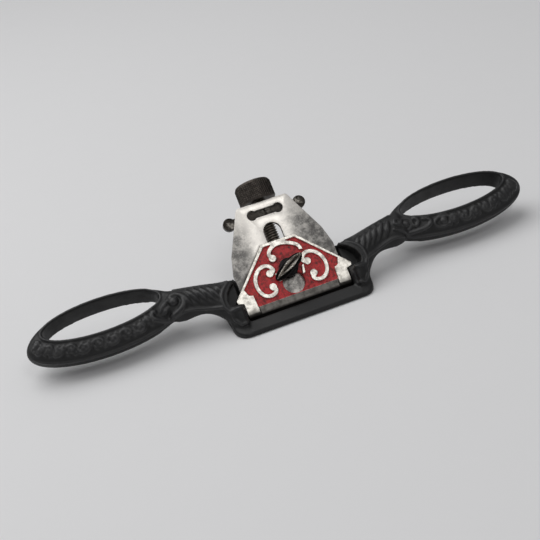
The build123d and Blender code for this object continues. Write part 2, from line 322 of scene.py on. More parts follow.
def mottleGroup():
    # blotches of two sizes, for patina and uneven paint
    inputs = [("Scale", number, 300.0), ("Low", number, 0.35), ("High", number, 0.65)]
    tree, start, end = newGroup("mottle", inputs, [("Mask", number), ("Fine", number)])
    place = objectPlace(tree)
    scale = start.outputs["Scale"]
    broad = noiseAt(tree, place, scale, 4.0, 0.62)
    fine = noiseAt(tree, place, times(tree, scale, 5.5), 3.0, 0.6)
    both = plus(tree, times(tree, broad, 0.7), times(tree, fine, 0.3))
    tree.links.new(spread(tree, both, start.outputs["Low"], start.outputs["High"]), end.inputs["Mask"])
    tree.links.new(fine, end.inputs["Fine"])
    return tree


def wearAndHollowShadeGroup():
    # masks for convex edges, broken up by noise, and for hollows, which carry painted shade on the casting
    # and the cap
    inputs = [("From", number, 0.52), ("To", number, 0.58), ("Scale", number, 500.0)]
    tree, start, end = newGroup("edgeWearAndHollowShade", inputs, [("Mask", number), ("Hollow", number)])
    sharp = tree.nodes.new("ShaderNodeNewGeometry").outputs["Pointiness"]
    edge = spread(tree, sharp, start.outputs["From"], start.outputs["To"])
    noise = noiseAt(tree, objectPlace(tree), start.outputs["Scale"], 3.0)
    broken = spread(tree, noise, 0.35, 0.6)
    tree.links.new(times(tree, edge, broken), end.inputs["Mask"])
    tree.links.new(spread(tree, sharp, 0.5, 0.42), end.inputs["Hollow"])
    return tree


def grainGroup():
    # fine cast or ground grain, as a height
    inputs = [("Scale", number, 1500.0), ("Stretch", triple, (1, 1, 1)), ("Turn", triple, (0, 0, 0))]
    tree, start, end = newGroup("grain", inputs, [("Height", number)])
    turn, stretch = start.outputs["Turn"], start.outputs["Stretch"]
    inputs = {"Vector": objectPlace(tree), "Rotation": turn, "Scale": stretch}
    turned = addNode(tree, "ShaderNodeMapping", inputs).outputs[0]
    tree.links.new(noiseAt(tree, turned, start.outputs["Scale"], 4.0, 0.7), end.inputs["Height"])
    return tree


def placeGroup(tree, group, **inputs):
    made = tree.nodes.new("ShaderNodeGroup")
    made.node_tree = group
    for key, value in inputs.items():
        made.inputs[key].default_value = value
    return made


def newMaterial(name, metallic, coat=0.0, coatRough=0.2, specular=0.5):
    paint = bpy.data.materials.new(name)
    paint.use_nodes = True
    tree = paint.node_tree
    shader = tree.nodes["Principled BSDF"]
    shader.inputs["Metallic"].default_value = metallic
    shader.inputs["Coat Weight"].default_value = coat
    shader.inputs["Coat Roughness"].default_value = coatRough
    shader.inputs["Specular IOR Level"].default_value = specular
    return paint, tree, shader


def bumpInto(tree, shader, height, distance, strength):
    inputs = {"Height": height, "Distance": distance * mm, "Strength": strength}
    bump = addNode(tree, "ShaderNodeBump", inputs)
    tree.links.new(bump.outputs[0], shader.inputs["Normal"])


mottle = mottleGroup()
edgeWearAndHollowShade = wearAndHollowShadeGroup()
grain = grainGroup()


# body casting

casting = {
    "baseVoxel": 0.5, "voxel": 0.42, "smoothRounds": 1, "triangles": 190000,
    "blends": [(55.5, 68.0, 100.0, 40), (28.4, 38.0, 2.6, 12)],  # x from, x to, highest v, rounds
    "flatSole": 1.5,  # nothing is blended below this height
    "dropTilt": (0.0, -0.57, 0.82), "dropFrom": 100.0,  # relief is dropped on the skin along this line
    "sink": 0.05, "startShare": 0.55, "ballFlat": 0.75,
    "proud": (0.1, 0.8),  # heights over the skin where relief starts to count as raised, and does in full
    # two tones are the ends of a mottle, and a tone with a number is laid over with that strength
    # the ground tones are painted shade between the relief, the raised tones a painted highlight on the
    # relief
    "groundShadeBlack": ((0.0035, 0.0035, 0.0037), (0.0080, 0.0080, 0.0084)),
    "raisedHighlightBlack": ((0.015, 0.015, 0.016), (0.026, 0.0255, 0.026)),
    # the hollow tone is painted shade in the creases
    "wornBrown": (0.45, (0.062, 0.050, 0.042)), "hollowShadeBlack": (0.85, (0.0015, 0.0015, 0.0015)),
    "rough": (0.50, 0.64), "raisedShine": 0.16,
}

# x out from the middle and v up the leaning face of the casting, both in mm
loop = {"centreX": 92.0, "centreV": 21.1, "rimHalf": 28.9, "rimDepth": 8.9,
        "ridgeHalf": 37.3, "ridgeDepth": 13.4, "ridgeV": 16.0,
        "rimShare": 0.03, "ridgeShare": 0.97, "ridgeFrom": 11, "ridgeTo": 161, "step": 6,
        "rimBead": 0.72, "bead": 0.9, "beadEnd": 4}

neck = {
    "lobes": [  # foot, middle and point of each leaf lobe
        ((54.2, 17.6), (52.2, 13.6), (50.3, 9.4)), ((51.2, 17.9), (48.6, 13.9), (46.3, 9.2)),
        ((47.8, 17.4), (45.0, 13.2), (42.6, 8.4)), ((44.6, 16.8), (41.8, 12.4), (39.2, 7.6)),
        ((41.2, 16.0), (38.6, 11.8), (36.6, 7.2)), ((37.6, 15.4), (36.2, 13.0), (35.0, 10.8)),
    ],
    "lobeWidth": 1.5,
    "upperLine": [(30.5, 15.8), (36.0, 16.6), (42.0, 17.7), (50.0, 19.2), (57.0, 20.6)],
    "lowerLine": [(34.6, -0.6), (37.0, 3.2), (42.0, 5.4), (48.0, 7.4), (54.0, 8.4), (60.0, 7.6)],
    "wellLineOut": [(30.4, 15.6), (33.6, 12.8), (35.9, 9.8), (36.8, 6.4), (36.6, 3.0), (35.4, 0.2)],
    "line": 0.9,
    "panel": [(28.4, 0.6), (34.8, 0.4), (34.3, -3.6), (31.8, -7.0), (28.6, -6.6), (28.4, 0.6)],
    "panelLine": 0.85,
}

leftScroll = {
    "curl": [(58.6, 15.2), (59.4, 17.2), (56.6, 18.0), (53.6, 15.4), (54.2, 11.6), (57.8, 9.2), (62.4, 8.2),
             (66.6, 8.6), (69.6, 10.6), (69.4, 13.0), (67.6, 13.4)],
    "ball": (58.3, 14.6), "ballSize": 2.3, "width": 1.6,
    "petals": [((60.6, 16.4), (63.4, 14.6), (66.0, 11.8)), ((61.2, 13.4), (63.2, 12.0), (65.4, 10.6)),
               ((70.8, 8.2), (72.6, 10.4), (73.4, 13.4))],
}

rightScroll = {
    "disc": (63.0, 13.6), "discSize": 1.8, "ring": (3.0, 3.0), "ringWidth": 0.805,
    "commas": [[(60.4, 16.6), (58.0, 17.0), (57.0, 15.0), (58.8, 13.8), (59.8, 15.0)],
               [(66.2, 14.8), (68.2, 14.6), (69.0, 12.4), (67.4, 11.0), (66.0, 12.0)]],
    "frame": [(55.2, 12.4), (58.6, 10.6), (63.0, 9.2), (68.0, 8.4), (72.4, 8.6), (75.0, 10.2), (73.8, 12.3),
              (71.0, 13.0)],
    "frameWidth": 1.38, "width": 1.15,
    "eye": (80.8, 8.4), "eyeHalf": (4.4, 2.5), "eyeWidth": 0.8625, "pupil": (81.4, 8.4), "pupilSize": 1.9,
}

vine = {
    "left": (2.0, 134.0, 11), "right": (7.0, 104.0, 9),  # angle from, angle to, number of curls
    "width": 1.1, "leafWidth": 0.99, "bead": 1.35, "stretch": 1.05, "reach": 0.36,
    "curl": [(-0.46, -0.30), (-0.30, 0.34), (0.02, 0.62), (0.34, 0.30), (0.24, -0.22), (0.0, -0.16),
             (0.02, 0.12)],
    "leaves": [((0.30, -0.40), (0.44, -0.62), (0.62, -0.66)), ((-0.26, -0.10), (-0.10, -0.52), (0.14, -0.70)),
               ((-0.5, 0.20), (-0.46, 0.48), (-0.34, 0.70))],
}


def smoothPath(points, side, steps=6):
    points = [Vector((side * x, v, 0.0)) for x, v in points]
    padded = [2 * points[0] - points[1], *points, 2 * points[-1] - points[-2]]
    path = []
    for before, a, b, after in zip(padded, padded[1:], padded[2:], padded[3:]):
        path += interpolate_bezier(a, a + (b - before) / 6, b - (after - a) / 6, b, steps)[:-1]
    return path + [points[-1]]


class Relief:
    # collects tubes and balls that lie on the skin of the casting
    def __init__(self, skin):
        self.skin = skin
        self.out = Vector(casting["dropTilt"]).normalized()
        self.up = Vector((0, self.out.z, -self.out.y))
        self.parts = []

    def drop(self, x, v):
        start = Vector((x * mm, 0, 0)) + self.up * (v * mm) + self.out * (casting["dropFrom"] * mm)
        return self.skin.ray_cast(start, -self.out)[:2]

    def tube(self, path, radii):
        spots = []
        for point, radius in zip(path, radii):
            where, normal = self.drop(point[0], point[1])
            if where is not None:
                spots.append((where - normal * (radius * casting["sink"] * mm), radius))
        if len(spots) < 2:
            return
        data = bpy.data.curves.new("reliefCurve", "CURVE")
        data.dimensions = "3D"
        data.bevel_depth = mm
        data.bevel_resolution = 2
        data.use_fill_caps = True
        line = data.splines.new("POLY")
        line.points.add(len(spots) - 1)
        for knot, (where, radius) in zip(line.points, spots):
            knot.co = (*where, 1)
            knot.radius = radius
        carrier = bpy.data.objects.new("reliefCurve", data)
        self.parts.append(bpy.data.meshes.new_from_object(carrier))
        bpy.data.objects.remove(carrier)
        bpy.data.curves.remove(data)

    def line(self, points, radius, side, steps=6):
        path = smoothPath(points, side, steps)
        self.tube(path, [radius] * len(path))

    def frameLine(self, corners, radius, side):
        for a, b in zip(corners, corners[1:]):
            self.line([a, b], radius, side)

    def tapered(self, points, radius, side, steps=6, tip=0.25, full=0.45):
        # swells from startShare of the radius to all of it, then thins to the tip
        path = smoothPath(points, side, steps)
        last = len(path) - 1
        start = casting["startShare"]
        radii = []
        for i in range(last + 1):
            t = i / last
            swell = start + (1 - start) * ease(0, full, t)
            radii.append(radius * swell * (1 - (1 - tip) * ease(full, 1, t)))
        self.tube(path, radii)

    def ball(self, x, v, radius, side):
        where, normal = self.drop(side * x, v)
        if where is None:
            return
        bm = bmesh.new()
        turn = normal.to_track_quat("Z", "Y").to_matrix().to_4x4()
        flat = Matrix.Diagonal((1, 1, casting["ballFlat"], 1))
        bmesh.ops.create_uvsphere(bm, u_segments=16, v_segments=10, radius=radius * mm,
                                  matrix=Matrix.Translation(where) @ turn @ flat)
        mesh = bpy.data.meshes.new("reliefBall")
        bm.to_mesh(mesh)
        bm.free()
        self.parts.append(mesh)

    def joinInto(self, piece):
        bm = bmesh.new()
        bm.from_mesh(piece.data)
        for mesh in self.parts:
            bm.from_mesh(mesh)
            bpy.data.meshes.remove(mesh)
        bm.to_mesh(piece.data)
        bm.free()


def bandPoint(angle, share):
    # x and v on the near side of a loop: share 0 at the finger opening, 1 at the ridge
    turn = math.radians(angle)
    half = loop["rimHalf"] + share * (loop["ridgeHalf"] - loop["rimHalf"])
    depth = loop["rimDepth"] + share * (loop["ridgeDepth"] - loop["rimDepth"])
    middle = loop["centreV"] + share * (loop["ridgeV"] - loop["centreV"])
    return loop["centreX"] + half * math.cos(turn), middle - depth * math.sin(turn)


def addLoopBorders(relief, side):
    step = loop["step"]
    rim = [bandPoint(angle, loop["rimShare"]) for angle in range(0, 361, step)]
    relief.line(rim, loop["rimBead"], side, 2)
    angles = range(loop["ridgeFrom"], loop["ridgeTo"], step)
    path = smoothPath([bandPoint(angle, loop["ridgeShare"]) for angle in angles], side, 2)
    ends = [min(i, len(path) - 1 - i) + 0.5 for i in range(len(path))]
    relief.tube(path, [loop["bead"] * ease(0, loop["beadEnd"], end) for end in ends])


def addVine(relief, side, first, last, count):
    step = (last - first) / count
    for i in range(count):
        middle = first + (i + 0.5) * step
        flip = 1 if i % 2 else -1

        def local(u, w):
            # u runs along the band and w across it; every other curl is turned over
            return bandPoint(middle + u * step * vine["stretch"], 0.5 + vine["reach"] * w * flip)

        relief.tapered([local(u, w) for u, w in vine["curl"]], vine["width"], side, 4, 0.9, 0.3)
        relief.ball(*local(*vine["curl"][-1]), vine["bead"], side)
        for leaf in vine["leaves"]:
            relief.tapered([local(u, w) for u, w in leaf], vine["leafWidth"], side, 4)


def addNeckRelief(relief, side):
    relief.frameLine(neck["panel"], neck["panelLine"], side)
    for lobe in neck["lobes"]:
        relief.tapered(lobe, neck["lobeWidth"], side, 6, 0.2, 0.4)
    for key in ("upperLine", "lowerLine", "wellLineOut"):
        relief.line(neck[key], neck["line"], side)


def addLeftScroll(relief):
    relief.tapered(leftScroll["curl"], leftScroll["width"], -1, 6, 0.6, 0.5)
    relief.ball(*leftScroll["ball"], leftScroll["ballSize"], -1)
    for petal in leftScroll["petals"]:
        relief.tapered(petal, leftScroll["width"], -1)


def ringPoints(centre, half, count=20):
    points = []
    for i in range(count + 1):
        turn = 2 * math.pi * i / count
        points.append((centre[0] + half[0] * math.cos(turn), centre[1] + half[1] * math.sin(turn)))
    return points


def addRightScroll(relief):
    relief.ball(*rightScroll["disc"], rightScroll["discSize"], 1)
    relief.line(ringPoints(rightScroll["disc"], rightScroll["ring"]), rightScroll["ringWidth"], 1, 2)
    for comma in rightScroll["commas"]:
        relief.tapered(comma, rightScroll["width"], 1, 5, 0.8)
    relief.tapered(rightScroll["frame"], rightScroll["frameWidth"], 1, 6, 0.6, 0.5)
    relief.line(ringPoints(rightScroll["eye"], rightScroll["eyeHalf"]), rightScroll["eyeWidth"], 1, 2)
    relief.ball(*rightScroll["pupil"], rightScroll["pupilSize"], 1)


def smoothJoins(piece):
    # blends the necks into the loops and the posts, as fillets in the mould do
    out = Vector(casting["dropTilt"]).normalized()
    bm = bmesh.new()
    bm.from_mesh(piece.data)
    for near, far, highest, rounds in casting["blends"]:
        verts = [v for v in bm.verts if near < abs(v.co.x) / mm < far
                 and (v.co.y * out.z - v.co.z * out.y) / mm < highest
                 and v.co.z > casting["flatSole"] * mm]
        for _ in range(rounds):
            bmesh.ops.smooth_vert(bm, verts=verts, factor=0.5, use_axis_x=True, use_axis_y=True,
                                  use_axis_z=True)
    bm.to_mesh(piece.data)
    bm.free()


def makeCasting():
    piece = copyOfNode("body_casting", "bodyCasting")
    remesh(piece, casting["baseVoxel"], 0)
    smoothJoins(piece)
    bm = bmesh.new()
    bm.from_mesh(piece.data)
    skin = BVHTree.FromBMesh(bm)
    bm.free()
    relief = Relief(skin)
    for side in (-1, 1):
        addLoopBorders(relief, side)
        addNeckRelief(relief, side)
    addVine(relief, -1, *vine["left"])
    addVine(relief, 1, *vine["right"])
    addLeftScroll(relief)
    addRightScroll(relief)
    relief.joinInto(piece)
    remesh(piece, casting["voxel"], casting["smoothRounds"])
    thinTo(piece, casting["triangles"])

    # height over the skin as a 0 to 1 mask: it lightens the relief as a painted highlight and makes it
    # smoother
    def raised(vertex):
        where, normal = skin.find_nearest(vertex.co)[:2]
        return ease(*casting["proud"], (vertex.co - where).dot(normal) / mm)

    setAttribute(piece, "raised", raised)
    piece.data.shade_smooth()
    return piece


def japanBlack():
    # thick black japan: painted shade makes it darkest in the hollows and on the ground, a painted highlight
    # makes the relief greyer, the relief is smoother, and edges are rubbed brown
    paint, tree, shader = newMaterial("japanBlack", 0.0, coat=0.12, coatRough=0.3, specular=0.42)
    blotch = placeGroup(tree, mottle, Scale=160.0, Low=0.38, High=0.62)
    wearAndHollowShade = placeGroup(tree, edgeWearAndHollowShade, From=0.53, To=0.62, Scale=420.0)
    fine = placeGroup(tree, grain, Scale=1400.0)
    lift = readAttribute(tree, "raised")
    ground = mixColor(tree, blotch.outputs["Mask"], *casting["groundShadeBlack"])
    proud = mixColor(tree, blotch.outputs["Mask"], *casting["raisedHighlightBlack"])
    # painted highlight on the raised relief over painted shade on the ground
    base = mixColor(tree, lift, ground, proud)
    base = layOver(tree, base, wearAndHollowShade.outputs["Mask"], *casting["wornBrown"])
    # painted shade in the hollows
    base = layOver(tree, base, wearAndHollowShade.outputs["Hollow"], *casting["hollowShadeBlack"])
    tree.links.new(base, shader.inputs["Base Color"])
    dull = between(tree, blotch.outputs["Mask"], *casting["rough"])
    shine = times(tree, lift, casting["raisedShine"])
    tree.links.new(minus(tree, dull, shine), shader.inputs["Roughness"])
    bumpInto(tree, shader, fine.outputs["Height"], distance=0.09, strength=0.55)
    return paint


# lever cap

cap = {
    "voxel": 0.2, "rounds": 3, "triangles": 190000, "groundC": 2.5, "faceC": 3.2, "halfStep": 0.12,
    "field": [(20.6, 7.2), (21.2, 13.2), (23.2, 13.8), (24.4, 17.0), (8.1, 33.9)],  # half width and s
    "fieldEdge": (-0.1, 0.15), "footEdge": 0.05,
    # the nose gets a painted dark reflection, and the ground below the field's foot painted shade
    "noseFrom": 7.6, "noseTo": 3.6, "footShade": 0.9,
    "red": ((0.60, 0.032, 0.036), (0.19, 0.024, 0.024)), "redSpot": (0.75, (0.040, 0.026, 0.022)),
    "silver": ((0.72, 0.69, 0.63), (0.50, 0.475, 0.43)), "silverSpot": (0.35, (0.18, 0.155, 0.13)),
    "silverHollowShade": (0.7, (0.07, 0.055, 0.045)), "noseShade": (0.036, 0.033, 0.031),
    "raggedness": 0.9, "enamelFrom": 0.38, "enamelTo": 0.55, "rough": (0.34, 0.48), "enamelRough": 0.06,
}


def insideField(x, s):
    # how far inside the red field, in mm, measured across
    x = abs(x)
    corners = cap["field"]
    if s > corners[-1][1]:
        return corners[-1][1] - s
    for (xa, sa), (xb, sb) in zip(corners, corners[1:]):
        if sa <= s <= sb:
            return xa + (xb - xa) * (s - sa) / (sb - sa) - x
    return -1.0


def makeCap():
    piece = copyOfNode("lever_cap", "leverCap")
    piece.data.transform(bedMatrix.inverted())
    remesh(piece, cap["voxel"], cap["rounds"])
    thinTo(piece, cap["triangles"])
    middle = (cap["groundC"] + cap["faceC"]) / 2
    foot = cap["field"][0][1]

    def sunk(c):
        # 1 on the ground of the field, 0 on the raised work
        return 1 - ease(middle - cap["halfStep"], middle + cap["halfStep"], c)

    def enamel(vertex):
        x, s, c = vertex.co / mm
        return ease(*cap["fieldEdge"], insideField(x, s)) * sunk(c)

    def noseReflectionAndShade(vertex):
        # painted dark reflection on the curved nose, and painted shade on the ground below the foot of the
        # field
        x, s, c = vertex.co / mm
        under = 1 - ease(foot - cap["footEdge"], foot + cap["footEdge"], s)
        return max(1 - ease(cap["noseTo"], cap["noseFrom"], s), sunk(c) * under * cap["footShade"])

    setAttribute(piece, "enamel", enamel)
    setAttribute(piece, "noseReflectionAndShade", noseReflectionAndShade)
    piece.data.transform(bedMatrix)
    piece.data.shade_smooth()
    return piece


def capFinish():
    # worn nickel on the raised work with painted shade in its crevices, mottled red enamel in the field, a
    # painted dark reflection on the nose
    paint, tree, shader = newMaterial("capFinish", 0.0, specular=0.3)
    blotch = placeGroup(tree, mottle, Scale=420.0, Low=0.42, High=0.66)
    spots = placeGroup(tree, mottle, Scale=760.0, Low=0.50, High=0.64)
    wearAndHollowShade = placeGroup(tree, edgeWearAndHollowShade, From=0.52, To=0.60, Scale=600.0)
    fine = placeGroup(tree, grain, Scale=900.0, Stretch=(1.0, 0.25, 0.25))
    red = mixColor(tree, blotch.outputs["Mask"], *cap["red"])
    red = layOver(tree, red, spots.outputs["Mask"], *cap["redSpot"])
    silver = mixColor(tree, blotch.outputs["Mask"], *cap["silver"])
    silver = layOver(tree, silver, spots.outputs["Mask"], *cap["silverSpot"])
    # painted shade darkens the crevices of the nickel
    silver = layOver(tree, silver, wearAndHollowShade.outputs["Hollow"], *cap["silverHollowShade"])
    # painted dark reflection on the nose and painted shade below the foot of the field
    silver = mixColor(tree, readAttribute(tree, "noseReflectionAndShade"), silver, cap["noseShade"])
    ragged = times(tree, minus(tree, blotch.outputs["Fine"], 0.5), cap["raggedness"])
    cover = plus(tree, readAttribute(tree, "enamel"), ragged)
    cover = spread(tree, cover, cap["enamelFrom"], cap["enamelTo"])
    tree.links.new(mixColor(tree, cover, silver, red), shader.inputs["Base Color"])
    tree.links.new(minus(tree, 1.0, cover), shader.inputs["Metallic"])
    metalRough = between(tree, blotch.outputs["Mask"], *cap["rough"])
    rough = plus(tree, metalRough, times(tree, cover, cap["enamelRough"]))
    tree.links.new(rough, shader.inputs["Roughness"])
    bumpInto(tree, shader, fine.outputs["Height"], distance=0.05, strength=0.5)
    return paint


# cutter

cutter = {
    "bevel": 0.22, "middleX": -2.0,
    "sides": (6.0, 17.0),  # distance from middleX where the patina starts and is full
    "lower": (55.15, 41.01),  # s where it starts and is full
    "foot": (26.87, 21.21),  # s where the whole width starts to be dull and is
    # the cap outline sets a band of painted shade on the cutter beside the lever cap
    "capSide": (0.728, 0.686), "capReach": 30.69, "capTop": 35.4, "capShadeWidth": 1.4,
    "bright": ((0.80, 0.765, 0.71), (0.58, 0.555, 0.52)), "brightMottle": 0.45,
    "patina": (0.17, 0.165, 0.158), "patinaDepth": (0.45, 1.0), "rough": (0.36, 0.54),
    "capContactShade": (0.8, (0.05, 0.044, 0.038)), "spot": (0.5, (0.09, 0.078, 0.066)),
    "edge": (0.6, (0.72, 0.70, 0.67)),
}


def capEdgeShade(tree, x, s):
    # painted shade in the corner where the lever cap meets the cutter: its sides lean by capSide and end at
    # capTop
    acrossSide, upSide = cutter["capSide"]
    slant = plus(tree, times(tree, math2(tree, "ABSOLUTE", x), acrossSide), times(tree, s, upSide))
    pastSide = minus(tree, slant, cutter["capReach"] * mm)
    pastTop = minus(tree, s, cutter["capTop"] * mm)
    beyond = math2(tree, "ABSOLUTE", math2(tree, "MAXIMUM", pastSide, pastTop))
    return spread(tree, beyond, cutter["capShadeWidth"] * mm, 0.0)


def cutterSteel():
    # ground steel: bright and scratched near the top and middle, grey patina on the sides and foot
    paint, tree, shader = newMaterial("cutterSteel", 1.0)
    split = addNode(tree, "ShaderNodeSeparateXYZ", {0: objectPlace(tree)})
    x = split.outputs["X"]
    height = plus(tree, split.outputs["Y"], split.outputs["Z"])
    s = times(tree, minus(tree, height, bed["edgeY"] * mm), math.sin(lean))
    across = math2(tree, "ABSOLUTE", minus(tree, x, cutter["middleX"] * mm))
    sides, lower, foot = [spread(tree, place, low * mm, high * mm) for place, (low, high) in
                          ((across, cutter["sides"]), (s, cutter["lower"]), (s, cutter["foot"]))]
    blotch = placeGroup(tree, mottle, Scale=230.0, Low=0.36, High=0.62)
    spots = placeGroup(tree, mottle, Scale=700.0, Low=0.58, High=0.70)
    scratches = placeGroup(tree, grain, Scale=700.0, Stretch=(1.6, 0.12, 0.12), Turn=(lean, 0, 0))
    wearAndHollowShade = placeGroup(tree, edgeWearAndHollowShade, From=0.52, To=0.60, Scale=500.0)
    dull = times(tree, math2(tree, "MAXIMUM", sides, foot), lower)
    patina = times(tree, dull, between(tree, blotch.outputs["Mask"], *cutter["patinaDepth"]))
    base = mixColor(tree, times(tree, blotch.outputs["Mask"], cutter["brightMottle"]), *cutter["bright"])
    base = mixColor(tree, patina, base, cutter["patina"])
    # painted shade along the edge of the lever cap
    base = layOver(tree, base, capEdgeShade(tree, x, s), *cutter["capContactShade"])
    base = layOver(tree, base, spots.outputs["Mask"], *cutter["spot"])
    base = layOver(tree, base, wearAndHollowShade.outputs["Mask"], *cutter["edge"])
    tree.links.new(base, shader.inputs["Base Color"])
    tree.links.new(between(tree, patina, *cutter["rough"]), shader.inputs["Roughness"])
    bumpInto(tree, shader, scratches.outputs["Height"], distance=0.03, strength=0.6)
    return paint


# cap screw

wing = {
    "s": 20.6, "turn": 28.0, "steps": 48,
    "collarRadius": 4.7, "collarLow": 2.52, "collarHigh": 3.72, "collarBevel": 0.25,
    "shankRadius": 2.98, "shankLow": -6.4, "overlap": 0.1,
    "stages": [  # height over the bed, half length, half width
        (3.70, 8.9, 3.1), (4.3, 9.3, 3.3), (5.4, 9.25, 2.75), (7.0, 9.1, 2.1), (8.8, 8.9, 1.9),
        (10.3, 8.7, 1.95), (10.8, 8.6, 1.8), (11.1, 8.4, 1.35)],
    "arch": 0.62, "archPower": 2.1, "lens": 0.62, "lensPower": 1.5,
    "polish": (1.3, 0.5),  # depth under the crest where the rubbed metal starts and is full
    "streakStretch": (0.06, 1.0, 1.0), "streakScale": 1600.0, "rough": (0.30, 0.40),
    "black": ((0.012, 0.011, 0.012), (0.030, 0.028, 0.027)),
    "bright": ((0.13, 0.115, 0.10), (0.72, 0.68, 0.62)),
}


def makeCapScrew():
    bm = bmesh.new()
    stages = wing["stages"]
    low, length, width = stages[0]
    made = bmesh.ops.create_circle(bm, cap_ends=True, segments=wing["steps"], radius=mm)
    bmesh.ops.scale(bm, vec=(length, width, 1), verts=made["verts"])
    bmesh.ops.translate(bm, vec=(0, 0, low * mm), verts=made["verts"])
    bm.faces.ensure_lookup_table()
    top = bm.faces[0]
    for height, nextLength, nextWidth in stages[1:]:
        grown = bmesh.ops.extrude_face_region(bm, geom=[top])
        verts = [e for e in grown["geom"] if isinstance(e, bmesh.types.BMVert)]
        top = [e for e in grown["geom"] if isinstance(e, bmesh.types.BMFace)][0]
        bmesh.ops.translate(bm, vec=(0, 0, (height - low) * mm), verts=verts)
        bmesh.ops.scale(bm, vec=(nextLength / length, nextWidth / width, 1), verts=verts)
        low, length, width = height, nextLength, nextWidth
    base, crest = stages[0][0], stages[-1][0]
    longest = max(stage[1] for stage in stages)

    def share(x):
        return min(1.0, abs(x) / longest)

    def archAt(x):
        # the crest falls away towards the ends of the wing
        return 1 - wing["arch"] * share(x) ** wing["archPower"]

    for vert in bm.verts:
        x, y, z = vert.co / mm
        rise = (z - base) / (crest - base)
        vert.co.z = (base + (z - base) * archAt(x)) * mm
        vert.co.y = y * (1 - wing["lens"] * rise * share(x) ** wing["lensPower"]) * mm
    bmesh.ops.poke(bm, faces=[f for f in bm.faces if len(f.verts) > 4])
    bmesh.ops.recalc_face_normals(bm, faces=bm.faces)
    turn = Matrix.Rotation(math.radians(wing["turn"]), 3, "Z")
    bmesh.ops.rotate(bm, cent=(0, 0, 0), matrix=turn, verts=bm.verts)
    addPin(bm, wing["shankRadius"], wing["shankLow"], wing["collarLow"] + wing["overlap"])
    addPin(bm, wing["collarRadius"], wing["collarLow"], wing["collarHigh"], wing["collarBevel"])
    bmesh.ops.translate(bm, vec=(0, wing["s"] * mm, 0), verts=bm.verts)
    piece = pieceFromBmesh(bm, "capScrew")

    def polish(vertex):
        x, s, c = vertex.co / mm
        turned = Matrix.Rotation(math.radians(-wing["turn"]), 2) @ Vector((x, s - wing["s"]))
        crestHere = base + (crest - base) * archAt(turned.x)
        return ease(*wing["polish"], crestHere - c)

    setAttribute(piece, "polish", polish)
    piece.data.transform(bedMatrix)
    smoothShade(piece, 40)
    return piece


def addPin(bm, radius, low, high, bevel=0.0):
    middle = Matrix.Translation((0, 0, (low + high) / 2 * mm))
    made = bmesh.ops.create_cone(bm, cap_ends=True, segments=wing["steps"], radius1=radius * mm,
                                 radius2=radius * mm, depth=(high - low) * mm, matrix=middle)
    if bevel:
        top = [v for v in made["verts"] if v.co.z > (low + high) / 2 * mm]
        ring = [e for e in bm.edges if all(v in top for v in e.verts)]
        bmesh.ops.bevel(bm, geom=ring, offset=bevel * mm, segments=2, profile=0.5, affect="EDGES",
                        material=-1)


def wingFinish():
    # oxide-black slopes with a rubbed bright crest
    paint, tree, shader = newMaterial("wingFinish", 1.0)
    blotch = placeGroup(tree, mottle, Scale=500.0, Low=0.4, High=0.62)
    turn = (0, 0, math.radians(-wing["turn"]))
    inputs = {"Vector": objectPlace(tree), "Scale": wing["streakStretch"], "Rotation": turn}
    stripe = noiseAt(tree, addNode(tree, "ShaderNodeMapping", inputs).outputs[0], wing["streakScale"], 2.0)
    bright = mixColor(tree, spread(tree, stripe, 0.38, 0.62), *wing["bright"])
    black = mixColor(tree, blotch.outputs["Mask"], *wing["black"])
    base = mixColor(tree, readAttribute(tree, "polish"), black, bright)
    tree.links.new(base, shader.inputs["Base Color"])
    tree.links.new(between(tree, blotch.outputs["Mask"], *wing["rough"]), shader.inputs["Roughness"])
    bumpInto(tree, shader, stripe, distance=0.04, strength=0.6)
    return paint


# feed screw and knob

feed = {
    "c": -6.0, "radius": 3.5, "low": 24.6, "high": 67.5, "steps": 36, "chamfer": 0.3, "runOut": 0.4,
    "pitch": 1.27, "threadDepth": 0.62, "threadLow": 32.9, "threadHigh": 58.0,
    "thread": ((0.0, 1.0), (0.16, 1.0), (0.46, 0.08), (0.52, 0.0), (0.64, 0.0), (0.70, 0.08)),  # pitch, depth
    "grooveS": 28.4, "grooveHalf": 0.95, "grooveRadius": 2.7,
    "steel": {"tones": ((0.10, 0.085, 0.07), (0.19, 0.165, 0.14)), "edge": (0.45, 0.41, 0.36),
              "rough": (0.34, 0.46)},
}

knob = {
    "low": 58.3, "high": 68.5, "radius": 9.4, "edge": 0.6, "roll": 0.25, "rollRise": 0.12,
    "knurls": 46, "knurlSteps": 4, "rowPitch": 1.28, "depth": 0.42, "flat": 0.62,
    "bore": 3.5, "boreDepth": 1.0, "recess": 0.5, "recessRadius": 6.4, "recessSlope": 0.4,
    "dish": 0.35, "dishOuter": 5.17, "dishInner": 4.7,
    "steel": {"tones": ((0.050, 0.043, 0.038), (0.095, 0.083, 0.074)), "edge": (0.24, 0.21, 0.18),
              "rough": (0.40, 0.52)},
}


